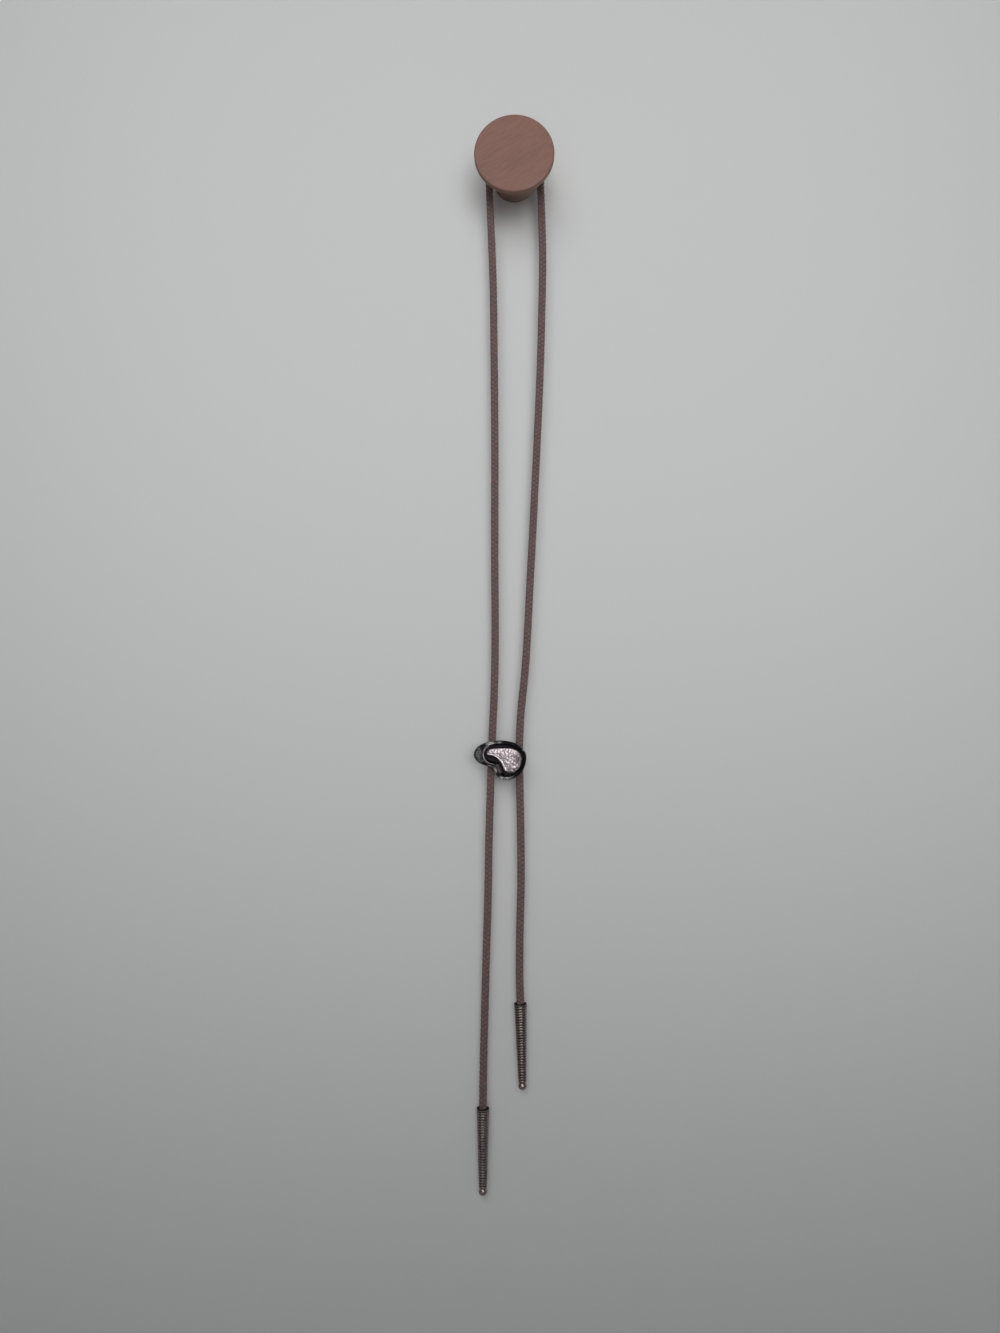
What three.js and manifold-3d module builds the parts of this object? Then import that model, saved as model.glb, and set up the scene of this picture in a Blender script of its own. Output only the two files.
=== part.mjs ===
// A bolo tie hanging over a turned wooden wall knob.
// Millimetres, +Z up, +X to the right as the tie is looked at. The wall is the plane y = 0,
// and everything stands out from it towards -Y. The origin is the centre of the knob's flat back.

import * as THREE from 'three';
import { mergeVertices } from 'three/addons/utils/BufferGeometryUtils.js';
import Module from 'manifold-3d';

// ---- driving dimensions ----

const GAP = 0.3;
const MERGE_DISTANCE = 1e-4;

const KNOB_DEPTH = 27;
const KNOB_FACE_RADIUS = 19.3;
const KNOB_NECK_RADIUS = 10.2;
const KNOB_NECK_LENGTH = 13;
const KNOB_RIM_THICKNESS = 3;
const KNOB_EDGE_RADIUS = 0.5;
const KNOB_EDGE_STEPS = 3;
const KNOB_FLARE_BEND = { out: 1.5, along: 5 };
const KNOB_FLARE_STEPS = 5;
const KNOB_SIDES = 40;

const CORD_DIAMETER = 4.2;
const CORD_SIDES = 10;
const LEG_STEPS = 34;
const LOOP_STEPS = 14;
const CORD_DIVISIONS = 800;

const SLIDE_X = -7.1;
const SLIDE_Z = -290.7;
const DISH_BACK_DEPTH = 10.1;
const DISH_HEIGHT = 3.4;
const DISH_FLOOR = 0.9;
const DISH_ROUNDING = 0.9;
const DISH_SIDES = 56;
const BOWL_CUT_HEIGHT = 2 * DISH_HEIGHT;
const RIM_WIRE_RADIUS = 0.4;
const RIM_WIRE_SIDES = 6;
const RIM_WIRE_STEPS = 18;
const INLAY_HEIGHT = 2.8;
const INLAY_ROUNDING = 0.6;
const INLAY_SIDES = 52;
const ROUNDING_STEPS = 3;

const CLIP_Z = SLIDE_Z + 0.9;
const CLIP_HEIGHT = 6;
const CLIP_SHEET = 0.6;
const CLIP_CORD_ROOM = 0.4;
const CLIP_PLATE = 0.9;
const CLIP_LEG_DEPTH = 6.5;
const CLIP_LEG_X = [-11.3, 2.15];
const CLIP_BORE_CUT = 2 * CLIP_HEIGHT;
const CLIP_SIDES = 20;

const TIP_LENGTH = 40.6;
const TIP_MOUTH_RADIUS = 3.05;
const TIP_END_RADIUS = 1.95;
const TIP_BALL_RADIUS = 2.1;
const TIP_BALL_OVERLAP = 0.4;
const TIP_BALL_STEPS = 8;
const TIP_SOCKET_DEPTH = 6.3;
const TIP_RINGS = 30;
const TIP_GROOVE = 0.22;
const TIP_SIDES = 14;
const TIP_LEFT_MOUTH = [-15.4, -3.4, -455.2];
const TIP_RIGHT_MOUTH = [2.4, -3.4, -406.4];
const TIP_RIGHT_LEAN = 1.4;

const CORD_RADIUS = CORD_DIAMETER / 2;
const SOCKET_RADIUS = CORD_RADIUS + GAP;

// The cord's centreline: x, y, z. It starts in the left tip, goes up behind the slide and over
// the knob's neck, and comes down behind the slide again into the right tip.
const LEFT_LEG = [
  [-15.4, -3.4, -461.2],
  [-15.3, -3.4, -442],
  [-14.7, -3.5, -414],
  [-14.0, -4.0, -388],
  [-13.1, -5.0, -357],
  [-12.5, -6.0, -327],
  [-11.8, -6.5, -304],
  [-11.0, -6.5, -280],
  [-10.0, -6.6, -257],
  [-9.6, -6.8, -233],
  [-9.8, -7.4, -187],
  [-9.7, -8.0, -139],
  [-10.1, -8.5, -92],
  [-10.6, -8.9, -55],
  [-11.6, -9.2, -28],
];
const NECK_LOOP = [
  [-12.4, -9.5, -9],
  [-12.4, -9.5, 2.7],
  [-9.0, -9.5, 9.0],
  [0, -9.5, 12.7],
  [9.0, -9.5, 9.0],
  [12.4, -9.5, 2.7],
  [13.0, -9.5, -9],
];
const RIGHT_LEG = [
  [13.7, -9.2, -31],
  [13.9, -9.1, -44],
  [13.4, -8.8, -71],
  [12.4, -8.4, -104],
  [10.2, -7.8, -151],
  [7.7, -7.3, -199],
  [5.1, -6.7, -245],
  [2.8, -6.5, -269],
  [2.1, -6.5, -285],
  [2.3, -6.5, -304],
  [2.7, -5.8, -327],
  [2.8, -5.2, -350],
  [2.2, -4.5, -373],
  [2.1, -3.8, -395],
  [2.4, -3.4, -406.5],
  [2.55, -3.4, -412.4],
];

// Outlines of the slide, across and up from its middle.
const DISH_OUTLINE = [
  [-12.5, 2.5],
  [-10.6, 6.4],
  [-4.9, 8.9],
  [1.6, 9.4],
  [8.1, 7.7],
  [12.0, 3.7],
  [12.5, 0.2],
  [10.1, -5.9],
  [4.7, -9.3],
  [0.1, -8.8],
  [-2.5, -5.6],
  [-3.7, -3.2],
  [-6.5, -2.6],
  [-10.4, -0.9],
];
const BOWL_OUTLINE = [
  [-8.2, 3.2],
  [-7.3, 5.4],
  [-4.4, 7.2],
  [1.6, 7.8],
  [7.3, 6.4],
  [11.0, 3.1],
  [11.4, 0.1],
  [9.2, -5.0],
  [4.5, -7.7],
  [0.8, -7.5],
  [-1.3, -4.9],
  [-2.6, -2.2],
  [-5.8, -1.4],
  [-7.6, 0.2],
];
const INLAY_OUTLINE = [
  [-6.7, 3.4],
  [-5.8, 5.0],
  [-4.0, 5.7],
  [0.6, 6.0],
  [5.6, 5.8],
  [9.0, 4.2],
  [10.6, 1.0],
  [9.7, -3.0],
  [7.5, -5.4],
  [5.0, -6.1],
  [2.5, -5.3],
  [1.4, -3.2],
  [0.2, -0.9],
  [-1.4, 0.7],
  [-3.4, 1.9],
  [-6.3, 2.5],
];
const RIM_WIRE = [
  [-5.7, 6.6],
  [-7.6, 5.2],
  [-8.5, 3.3],
  [-8.3, 1.1],
  [-7.2, -0.6],
  [-5.4, -1.6],
  [-3.0, -2.1],
];
const ROLLED_END = { x: -10.1, z: 2.8, across: 2.5, up: 4.4, out: 1.6, sides: 16, rows: 12 };

const wasm = await Module();
wasm.setup();

// ---- materials ----

function finish(color, roughness, metalness) {
  return new THREE.MeshStandardMaterial({ color, roughness, metalness });
}

const knobWood = finish(0x8a6453, 0.6, 0);
const braidedCord = finish(0x63504c, 0.85, 0);
const oxidisedSilver = finish(0x3c3a3c, 0.5, 0.9);
const brightSilver = finish(0xcbbfc0, 0.3, 1);
const clipMetal = finish(0x8e8e90, 0.4, 0.9);
const tipSilver = finish(0x5c524f, 0.4, 0.9);

// ---- solids and booleans ----

function toSolid(geometry) {
  const bare = geometry.clone();
  bare.deleteAttribute('normal');
  bare.deleteAttribute('uv');
  const merged = mergeVertices(bare, MERGE_DISTANCE);
  const vertProperties = new Float32Array(merged.attributes.position.array);
  const triVerts = new Uint32Array(merged.index.array);
  const mesh = new wasm.Mesh({ numProp: 3, vertProperties, triVerts });
  return new wasm.Manifold(mesh);
}

function toGeometry(solid) {
  const mesh = solid.getMesh();
  const geometry = new THREE.BufferGeometry();
  geometry.setAttribute('position', new THREE.BufferAttribute(mesh.vertProperties, 3));
  geometry.setIndex(new THREE.BufferAttribute(mesh.triVerts, 1));
  geometry.computeVertexNormals();
  return geometry;
}

function outlineShape(points, sides) {
  const corners = points.map(([across, up]) => new THREE.Vector3(across, up, 0));
  const curve = new THREE.CatmullRomCurve3(corners, true, 'centripetal');
  const round = curve.getSpacedPoints(sides).slice(0, -1);
  return new THREE.Shape(round.map((p) => new THREE.Vector2(p.x, p.y)));
}

// A flat slab of an outline whose two faces are rounded over. It stands from bottom to bottom + height.
function roundedSlab(points, bottom, height, rounding, sides) {
  const geometry = new THREE.ExtrudeGeometry(outlineShape(points, sides), {
    depth: height - 2 * rounding,
    steps: 1,
    bevelEnabled: true,
    bevelThickness: rounding,
    bevelSize: rounding,
    bevelOffset: -rounding,
    bevelSegments: ROUNDING_STEPS,
  });
  geometry.translate(0, 0, bottom + rounding);
  return geometry;
}

function roundSection(radius, sides) {
  const section = new THREE.Shape();
  for (let i = 0; i < sides; i += 1) {
    const angle = (2 * Math.PI * i) / sides;
    const x = radius * Math.cos(angle);
    const y = radius * Math.sin(angle);
    if (i === 0) {
      section.moveTo(x, y);
    } else {
      section.lineTo(x, y);
    }
  }
  section.closePath();
  return section;
}

// ---- the wooden knob: turned about the Y axis, neck on the wall, flat round face in front ----

function wallKnob() {
  const rimBack = KNOB_DEPTH - KNOB_RIM_THICKNESS;
  const flare = new THREE.QuadraticBezierCurve(
    new THREE.Vector2(KNOB_NECK_RADIUS, -KNOB_NECK_LENGTH),
    new THREE.Vector2(
      KNOB_NECK_RADIUS + KNOB_FLARE_BEND.out,
      -(KNOB_NECK_LENGTH + KNOB_FLARE_BEND.along),
    ),
    new THREE.Vector2(KNOB_FACE_RADIUS - KNOB_EDGE_RADIUS, -rimBack),
  );
  const edge = new THREE.EllipseCurve(
    KNOB_FACE_RADIUS - KNOB_EDGE_RADIUS,
    -(KNOB_DEPTH - KNOB_EDGE_RADIUS),
    KNOB_EDGE_RADIUS,
    KNOB_EDGE_RADIUS,
    0,
    -Math.PI / 2,
    true,
  );
  const profile = [
    new THREE.Vector2(0, 0),
    new THREE.Vector2(KNOB_NECK_RADIUS, 0),
    ...flare.getPoints(KNOB_FLARE_STEPS),
    new THREE.Vector2(KNOB_FACE_RADIUS, -(rimBack + KNOB_EDGE_RADIUS)),
    ...edge.getPoints(KNOB_EDGE_STEPS),
    new THREE.Vector2(0, -KNOB_DEPTH),
  ];
  const geometry = new THREE.LatheGeometry(profile.reverse(), KNOB_SIDES);
  const knob = new THREE.Mesh(geometry, knobWood);
  knob.name = 'wall_knob';
  return knob;
}

// ---- the cord: one round tube, with long steps down the legs and short ones over the neck ----

class CordRun extends THREE.CatmullRomCurve3 {
  constructor() {
    const route = [...LEFT_LEG, ...NECK_LOOP, ...RIGHT_LEG];
    super(route.map((place) => new THREE.Vector3(...place)), false, 'centripetal');
    this.arcLengthDivisions = CORD_DIVISIONS;
    const lengths = this.getLengths(CORD_DIVISIONS);
    const partAt = (index) => {
      const sample = Math.round((index / (route.length - 1)) * CORD_DIVISIONS);
      return lengths[sample] / lengths[CORD_DIVISIONS];
    };
    const steps = 2 * LEG_STEPS + LOOP_STEPS;
    this.steps = steps;
    this.stepAt = [0, LEG_STEPS / steps, (LEG_STEPS + LOOP_STEPS) / steps, 1];
    this.lengthAt = [0, partAt(LEFT_LEG.length), partAt(route.length - RIGHT_LEG.length - 1), 1];
  }

  getUtoTmapping(u, distance) {
    const last = this.stepAt.length - 2;
    const after = this.stepAt.findIndex((place) => place > u) - 1;
    const span = after < 0 ? last : after;
    const share = (u - this.stepAt[span]) / (this.stepAt[span + 1] - this.stepAt[span]);
    const along = this.lengthAt[span] + share * (this.lengthAt[span + 1] - this.lengthAt[span]);
    return super.getUtoTmapping(Math.min(along, 1), distance);
  }
}

function cord() {
  const run = new CordRun();
  const section = roundSection(CORD_RADIUS, CORD_SIDES);
  const geometry = new THREE.ExtrudeGeometry(section, { extrudePath: run, steps: run.steps });
  const tube = new THREE.Mesh(geometry, braidedCord);
  tube.name = 'cord';
  return tube;
}

// ---- the slide: a cast dish with a raised rim and a rolled end, and a bright inlay in it ----

function slideDish() {
  const body = toSolid(roundedSlab(DISH_OUTLINE, 0, DISH_HEIGHT, DISH_ROUNDING, DISH_SIDES));
  const bowl = toSolid(
    roundedSlab(BOWL_OUTLINE, DISH_FLOOR, BOWL_CUT_HEIGHT, DISH_ROUNDING, DISH_SIDES),
  );
  const roll = new THREE.SphereGeometry(1, ROLLED_END.sides, ROLLED_END.rows);
  roll.scale(ROLLED_END.across, ROLLED_END.up, ROLLED_END.out);
  roll.translate(ROLLED_END.x, ROLLED_END.z, DISH_HEIGHT - ROLLED_END.out / 2);
  const wirePath = new THREE.CatmullRomCurve3(
    RIM_WIRE.map(([across, up]) => new THREE.Vector3(across, up, DISH_HEIGHT)),
  );
  const wire = new THREE.ExtrudeGeometry(roundSection(RIM_WIRE_RADIUS, RIM_WIRE_SIDES), {
    extrudePath: wirePath,
    steps: RIM_WIRE_STEPS,
  });
  const solid = body.add(toSolid(roll)).subtract(bowl).add(toSolid(wire));
  return new THREE.Mesh(toGeometry(solid), oxidisedSilver);
}

function slideInlay() {
  const bottom = DISH_FLOOR + GAP;
  const geometry = roundedSlab(INLAY_OUTLINE, bottom, INLAY_HEIGHT, INLAY_ROUNDING, INLAY_SIDES);
  return new THREE.Mesh(geometry, brightSilver);
}

// Drawn flat with X across, Y up and Z out from the wall, then stood up against the cord.
function slideFront() {
  const front = new THREE.Group();
  front.position.set(SLIDE_X, -DISH_BACK_DEPTH, SLIDE_Z);
  front.rotation.x = Math.PI / 2;
  const dish = slideDish();
  dish.name = 'slide_dish';
  const inlay = slideInlay();
  inlay.name = 'slide_inlay';
  front.add(dish, inlay);
  return front;
}

// ---- the clip behind the slide: a plate with a short sleeve round each leg of the cord ----

function slideClip() {
  const boreRadius = CORD_RADIUS + CLIP_CORD_ROOM;
  const sleeveRadius = boreRadius + CLIP_SHEET;
  const reach = CLIP_LEG_X[1] - CLIP_LEG_X[0];
  const middle = (CLIP_LEG_X[0] + CLIP_LEG_X[1]) / 2;
  const plateFront = -(DISH_BACK_DEPTH - GAP);
  const plate = new THREE.BoxGeometry(reach, CLIP_PLATE, CLIP_HEIGHT);
  plate.translate(middle, plateFront + CLIP_PLATE / 2, CLIP_Z);
  let solid = toSolid(plate);
  const bores = [];
  for (const legX of CLIP_LEG_X) {
    const sleeve = new THREE.CylinderGeometry(sleeveRadius, sleeveRadius, CLIP_HEIGHT, CLIP_SIDES);
    sleeve.rotateX(Math.PI / 2);
    sleeve.translate(legX, -CLIP_LEG_DEPTH, CLIP_Z);
    solid = solid.add(toSolid(sleeve));
    const bore = new THREE.CylinderGeometry(boreRadius, boreRadius, CLIP_BORE_CUT, CLIP_SIDES);
    bore.rotateX(Math.PI / 2);
    bore.translate(legX, -CLIP_LEG_DEPTH, CLIP_Z);
    bores.push(toSolid(bore));
  }
  for (const bore of bores) {
    solid = solid.subtract(bore);
  }
  const clip = new THREE.Mesh(toGeometry(solid), clipMetal);
  clip.name = 'slide_clip';
  return clip;
}

// ---- the tips: tapered, ringed all the way down, a socket for the cord and a ball at the end ----

// The tip hangs down from its mouth, which is at y = 0 of the profile.
function tipGeometry() {
  const taperEnd = -(TIP_LENGTH - 2 * TIP_BALL_RADIUS + TIP_BALL_OVERLAP);
  const pitch = -taperEnd / TIP_RINGS;
  const ballCentre = -(TIP_LENGTH - TIP_BALL_RADIUS);
  const meet = Math.asin((taperEnd - ballCentre) / TIP_BALL_RADIUS);
  const ball = new THREE.EllipseCurve(
    0,
    ballCentre,
    TIP_BALL_RADIUS,
    TIP_BALL_RADIUS,
    -Math.PI / 2,
    meet,
    false,
  );
  const profile = ball.getPoints(TIP_BALL_STEPS);
  profile[0].x = 0;
  for (let ring = TIP_RINGS - 1; ring >= 0; ring -= 1) {
    const share = (ring + 0.5) / TIP_RINGS;
    const crest = THREE.MathUtils.lerp(TIP_MOUTH_RADIUS, TIP_END_RADIUS, share);
    profile.push(new THREE.Vector2(crest, -pitch * (ring + 0.5)));
    if (ring > 0) {
      profile.push(new THREE.Vector2(crest - TIP_GROOVE, -pitch * ring));
    }
  }
  profile.push(new THREE.Vector2(TIP_MOUTH_RADIUS - TIP_GROOVE, 0));
  profile.push(new THREE.Vector2(SOCKET_RADIUS, 0));
  profile.push(new THREE.Vector2(SOCKET_RADIUS, -TIP_SOCKET_DEPTH));
  profile.push(new THREE.Vector2(0, -TIP_SOCKET_DEPTH));
  return new THREE.LatheGeometry(profile, TIP_SIDES);
}

function cordTip(name, mouth, leanDegrees) {
  const tip = new THREE.Mesh(tipGeometry(), tipSilver);
  tip.name = name;
  tip.rotation.x = Math.PI / 2;
  const hanging = new THREE.Group();
  hanging.position.set(...mouth);
  hanging.rotation.y = -THREE.MathUtils.degToRad(leanDegrees);
  hanging.add(tip);
  return hanging;
}

// ---- the whole tie on its knob ----

const boloTie = new THREE.Group();
boloTie.add(wallKnob());
boloTie.add(cord());
boloTie.add(slideFront());
boloTie.add(slideClip());
boloTie.add(cordTip('tip_left', TIP_LEFT_MOUTH, 0));
boloTie.add(cordTip('tip_right', TIP_RIGHT_MOUTH, TIP_RIGHT_LEAN));

export default boloTie;
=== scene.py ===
"""A bolo tie hanging over a turned wooden wall knob.

The braided cord, its two ringed tips, the slide with its bright inlay and hidden clip, and the knob
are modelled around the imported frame. Metres, +Z up; the wall is y = 0 and the tie hangs in front, at -Y.
"""

import math

import bmesh
import bpy
import numpy as np
from mathutils import Matrix, Vector


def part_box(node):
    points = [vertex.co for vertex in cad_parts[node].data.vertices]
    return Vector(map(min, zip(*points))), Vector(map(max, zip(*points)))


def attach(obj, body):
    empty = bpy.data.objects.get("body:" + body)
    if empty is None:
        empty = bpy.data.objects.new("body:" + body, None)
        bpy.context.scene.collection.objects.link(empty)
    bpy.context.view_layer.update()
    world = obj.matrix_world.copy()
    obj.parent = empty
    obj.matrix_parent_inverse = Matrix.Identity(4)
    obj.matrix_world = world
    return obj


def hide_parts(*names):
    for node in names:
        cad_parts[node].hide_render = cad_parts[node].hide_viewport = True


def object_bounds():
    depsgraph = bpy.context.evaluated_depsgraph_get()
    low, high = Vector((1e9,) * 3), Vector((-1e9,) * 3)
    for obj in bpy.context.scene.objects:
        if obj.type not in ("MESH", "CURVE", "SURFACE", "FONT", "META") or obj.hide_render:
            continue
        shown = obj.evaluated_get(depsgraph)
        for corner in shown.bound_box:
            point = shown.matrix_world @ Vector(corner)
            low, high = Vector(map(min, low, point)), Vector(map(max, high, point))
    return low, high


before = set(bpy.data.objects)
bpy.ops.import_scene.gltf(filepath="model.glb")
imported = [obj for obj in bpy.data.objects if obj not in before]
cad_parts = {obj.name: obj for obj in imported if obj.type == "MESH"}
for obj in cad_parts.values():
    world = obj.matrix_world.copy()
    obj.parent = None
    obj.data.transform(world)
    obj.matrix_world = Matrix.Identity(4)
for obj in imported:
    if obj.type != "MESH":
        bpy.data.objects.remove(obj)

bl_info = {
    "name": "Bolo Tie on a Wall Knob",
    "version": (1, 0, 0),
    "blender": (4, 5, 0),
    "location": "3D View > Sidebar > Bolo Tie",
    "description": "Models a braided cord, slide, tips and wooden knob around the packed frame",
    "category": "Object",
}

CAD_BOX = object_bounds()
MM = 0.001
BODY = "root"
MERGE_DISTANCE = 0.001 * MM
LEAST_WEIGHT = 0.01
STAND_UP = Matrix.Rotation(math.pi / 2, 4, "X")

# The camera, and the field of the view from top to bottom.
CAMERA_PLACE = (0.00287, -0.490, -0.27601)
CAMERA_PITCH = math.radians(3.6)
CAMERA_TURN = math.radians(1.2)
CAMERA_SENSOR_MM = 36

# The cord's centreline: up from the left tip, behind the slide, over the knob's neck and down again.
CORD_ROUTE = (
    (-0.0154, -0.0034, -0.4612),
    (-0.0153, -0.0034, -0.4420),
    (-0.0147, -0.0035, -0.4140),
    (-0.0140, -0.0040, -0.3880),
    (-0.0131, -0.0050, -0.3570),
    (-0.0125, -0.0060, -0.3270),
    (-0.0118, -0.0065, -0.3040),
    (-0.0110, -0.0065, -0.2800),
    (-0.0100, -0.0066, -0.2570),
    (-0.0096, -0.0068, -0.2330),
    (-0.0098, -0.0074, -0.1870),
    (-0.0097, -0.0080, -0.1390),
    (-0.0101, -0.0085, -0.0920),
    (-0.0106, -0.0089, -0.0550),
    (-0.0116, -0.0092, -0.0280),
    (-0.0124, -0.0095, -0.0090),
    (-0.0124, -0.0095, 0.0027),
    (-0.0090, -0.0095, 0.0090),
    (0.0000, -0.0095, 0.0127),
    (0.0090, -0.0095, 0.0090),
    (0.0124, -0.0095, 0.0027),
    (0.0130, -0.0095, -0.0090),
    (0.0137, -0.0092, -0.0310),
    (0.0139, -0.0091, -0.0440),
    (0.0134, -0.0088, -0.0710),
    (0.0124, -0.0084, -0.1040),
    (0.0102, -0.0078, -0.1510),
    (0.0077, -0.0073, -0.1990),
    (0.0051, -0.0067, -0.2450),
    (0.0028, -0.0065, -0.2690),
    (0.0021, -0.0065, -0.2850),
    (0.0023, -0.0065, -0.3040),
    (0.0027, -0.0058, -0.3270),
    (0.0028, -0.0052, -0.3500),
    (0.0022, -0.0045, -0.3730),
    (0.0021, -0.0038, -0.3950),
    (0.0024, -0.0034, -0.4065),
    (0.00255, -0.0034, -0.4124),
)
ROUTE_STEPS = 60  # samples on each span of the route before it is evened out

# The braid: two pairs of strands wind opposite ways and pass over and under each other.
STRANDS = 4
BRAID_SAMPLES = 14  # steps in one turn of a strand
BRAID_MIDDLE = 1.15 * MM
BRAID_SWING = 0.45 * MM
BRAID_PHASE = math.radians(45)  # where the crossings stand round the cord, from its front
STRAND_SECTION = ((1, -0.15), (0.88, 0.5), (0.45, 0.92), (-0.45, 0.92), (-0.88, 0.5), (-1, -0.15), (0, -0.9))
CORE_RADIUS = 0.9 * MM
CORE_SIDES = 8
CORE_SPACING = 4  # braid steps to one step of the core
LACE_SHIFT = 0.01  # keeps the strands apart on their shared map

# The tips.
TIP_SIDES = 44
TIP_LIP = 0.12 * MM
BALL_OVERLAP = 0.4 * MM
BALL_STEPS = 14
# One ring: share of its pitch, and depth as a share of the groove's.
RING_SHAPE = ((0.08, 0.4), (0.22, 0.06), (0.5, 0.0), (0.78, 0.06), (0.92, 0.4), (1.0, 1.0))
MOUTH_SHARE = 0.9965  # what of a tip's longest reach its mouth's rim has
TIP_FADE = 0.3 * MM  # down the mouth and on to the ball
SOCKET_FLOOR_MARGIN = 0.1 * MM
BALL_WEAR = 0.75
# Crests rubbed bare, partly a painted highlight.
CREST_RUB_AND_HIGHLIGHT = 0.1

# Outlines of the slide in millimetres, across and up from its middle. Their rows match one another.
DISH_OUTLINE = (
    (-12.5, 2.5), (-10.6, 6.4), (-4.9, 8.9), (1.6, 9.4), (8.1, 7.7), (12.0, 3.7), (12.5, 0.2),
    (10.1, -5.9), (4.7, -9.3), (0.1, -8.8), (-2.5, -5.6), (-3.7, -3.2), (-6.5, -2.6), (-10.4, -0.9),
)
BOWL_OUTLINE = (
    (-8.2, 3.2), (-7.3, 5.4), (-4.4, 7.2), (1.6, 7.8), (7.3, 6.4), (11.0, 3.1), (11.4, 0.1),
    (9.2, -5.0), (4.5, -7.7), (0.8, -7.5), (-1.3, -4.9), (-2.6, -2.2), (-5.8, -1.4), (-7.6, 0.2),
)
FLOOR_OUTLINE = (
    (-7.7, 3.2), (-6.9, 5.3), (-4.3, 6.9), (1.6, 7.5), (7.2, 6.1), (10.9, 3.0), (11.2, 0.1),
    (9.0, -4.9), (4.5, -7.4), (1.9, -6.6), (1.4, -4.4), (-0.4, -1.2), (-4.4, -0.2), (-6.9, 0.7),
)
INLAY_OUTLINE = (
    (-6.7, 3.4), (-5.8, 5.0), (-4.0, 5.7), (0.6, 6.0), (5.6, 5.8), (9.0, 4.2), (10.6, 1.0),
    (9.7, -3.0), (7.5, -5.4), (5.0, -6.1), (2.5, -5.3), (1.4, -3.2), (0.2, -0.9), (-1.4, 0.7),
    (-3.4, 1.9), (-6.3, 2.5),
)
OUTLINE_STEPS = 8  # points on each span of an outline

# The dish's wall and rim: share of the way from the dish's outline to the bowl's, and height.
RIM_PROFILE = (
    (0.45, 0.0), (0.22, 0.04), (0.06, 0.35), (0.0, 1.0), (-0.02, 1.7), (0.0, 2.4), (0.07, 2.92),
    (0.18, 3.2), (0.30, 3.3), (0.38, 3.2), (0.44, 3.04), (0.50, 3.2), (0.62, 3.38), (0.78, 3.4),
    (0.92, 3.3), (1.0, 3.05),
)
# The bowl inside: share of the way from the bowl's edge to its floor, and height.
BOWL_PROFILE = ((0.15, 2.75), (0.4, 2.1), (0.75, 1.3), (0.93, 0.98), (1.05, 0.9))
ROLLED_END = {"across": -10.1, "up": 2.8, "wide": 2.5, "tall": 4.4, "rise": 1.6, "middle": 2.5}
DISH_SMOOTHING = 2  # levels of subdivision
ROLL_FROM = 2.3 * MM  # the roll lifts only what stands above this
# The cast texture: the heights where it fades in, its reach in from the bowl, its two places, its grain.
CAST_RISE = (1.0, 2.2)
CAST_MARGIN = (0.0, 0.6)
CAST_ON_ROLL = (-10.7, 2.8, 6.0)
CAST_BELOW = (5.0, -8.6, 5.0)
CAST_BELOW_SHARE = 0.6
CAST_GRAIN = 0.75 * MM

# The inlay's wall: inset from its outline, and height above the dish's back.
INLAY_PROFILE = ((0.4, 1.2), (0.05, 1.45), (0.0, 3.2), (0.12, 3.62), (0.4, 3.85))
INLAY_MESH_SIZE = 0.13 * MM
INLAY_SOFTENING = 6
INLAY_FRONT = (2.6, 3.4)  # heights between its wall and its front
INLAY_DOME = {"rise": 0.42, "run": 1.6, "sunk": 0.2}
INLAY_LIP = {"rise": 0.16, "from_edge": 0.55, "half_width": 0.28, "polished": 0.95}
INNER_SPANS = (10, 15.5)  # the spans of its outline on the hollow side
# The hammer marks and the ripple between them: grain, and depth as a share of the marks' setting.
HAMMER_MARKS = (1.15 * MM, 1.4)
RIPPLE = (0.9 * MM, 0.5)
HAMMER_MARGIN = (0.0, 0.5)
# Darker places of painted shade: one on the front's right side, across, up, reach and strength, and the foot
# with its two heights.
INLAY_SHADE_PLACE = (9.2, 0.5, 5.0, 0.35)
INLAY_FOOT = (2.8, 1.8)
FOOT_SHADE = 0.4
LIP_WEAR = 0.3

# Bright places on the slide's rim, rubbed bare and partly a painted highlight: across, up, reach in
# millimetres and strength.
RUBBED_AND_LIT_RIM = (
    (-4.6, 8.3, 3.6, 0.66),
    (-0.2, 8.7, 2.6, 0.4),
    (3.5, -8.3, 5.0, 0.5),
    (0.2, -8.7, 1.8, 0.6),
    (11.0, 5.0, 1.0, 0.6),
    (-9.4, -0.6, 2.0, 0.35),
    (-2.6, -4.6, 3.4, 0.5),
    (-10.6, 2.8, 5.4, 0.30),
)
RIM_RISE = (2.6, 3.1)  # heights between which the rim's wear and painted highlight fade in
# Greyer places on the bowl's slope, painted light where it faces up, in the same terms, and the heights
# where they fade in and out.
PAINTED_LIGHT_ON_SLOPE = (
    (-0.9, -3.2, 4.8, 1.0),
    (1.5, -6.8, 3.4, 0.8),
)
SLOPE_RISE = (1.0, 1.3)
SLOPE_END = (3.0, 2.6)
# Painted shade deep in the bowl, on top of its black oxide, and the heights where it fades in.
BOWL_SHADE = 0.5
BOWL_DEPTH = (2.6, 1.0)
# Wires along the rim's left side: rows across, up, height and thickness share.
RIM_WIRES = (
    ((-5.2, 6.8, 3.1, 0.3), (-7.0, 5.6, 3.2, 0.85), (-7.95, 3.5, 3.3, 1.0), (-7.75, 1.4, 3.3, 1.0),
     (-6.7, -0.4, 3.2, 0.9), (-5.0, -1.4, 3.1, 0.7), (-2.7, -2.0, 3.0, 0.3)),
    ((-6.3, -2.2, 3.1, 0.2), (-5.2, -2.45, 3.25, 0.45), (-4.2, -2.7, 3.25, 0.45), (-3.1, -3.3, 3.1, 0.2)),
)
WIRE_STEPS = 8
WIRE_ROUNDNESS = 4
WIRE_DULLNESS = 0.15
# The darker silver of small patches, also used for painted shade on the inlay's foot and right side.
BRIGHT_PATCHES_AND_SHADE = (0.13, 0.11, 0.115)

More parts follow.
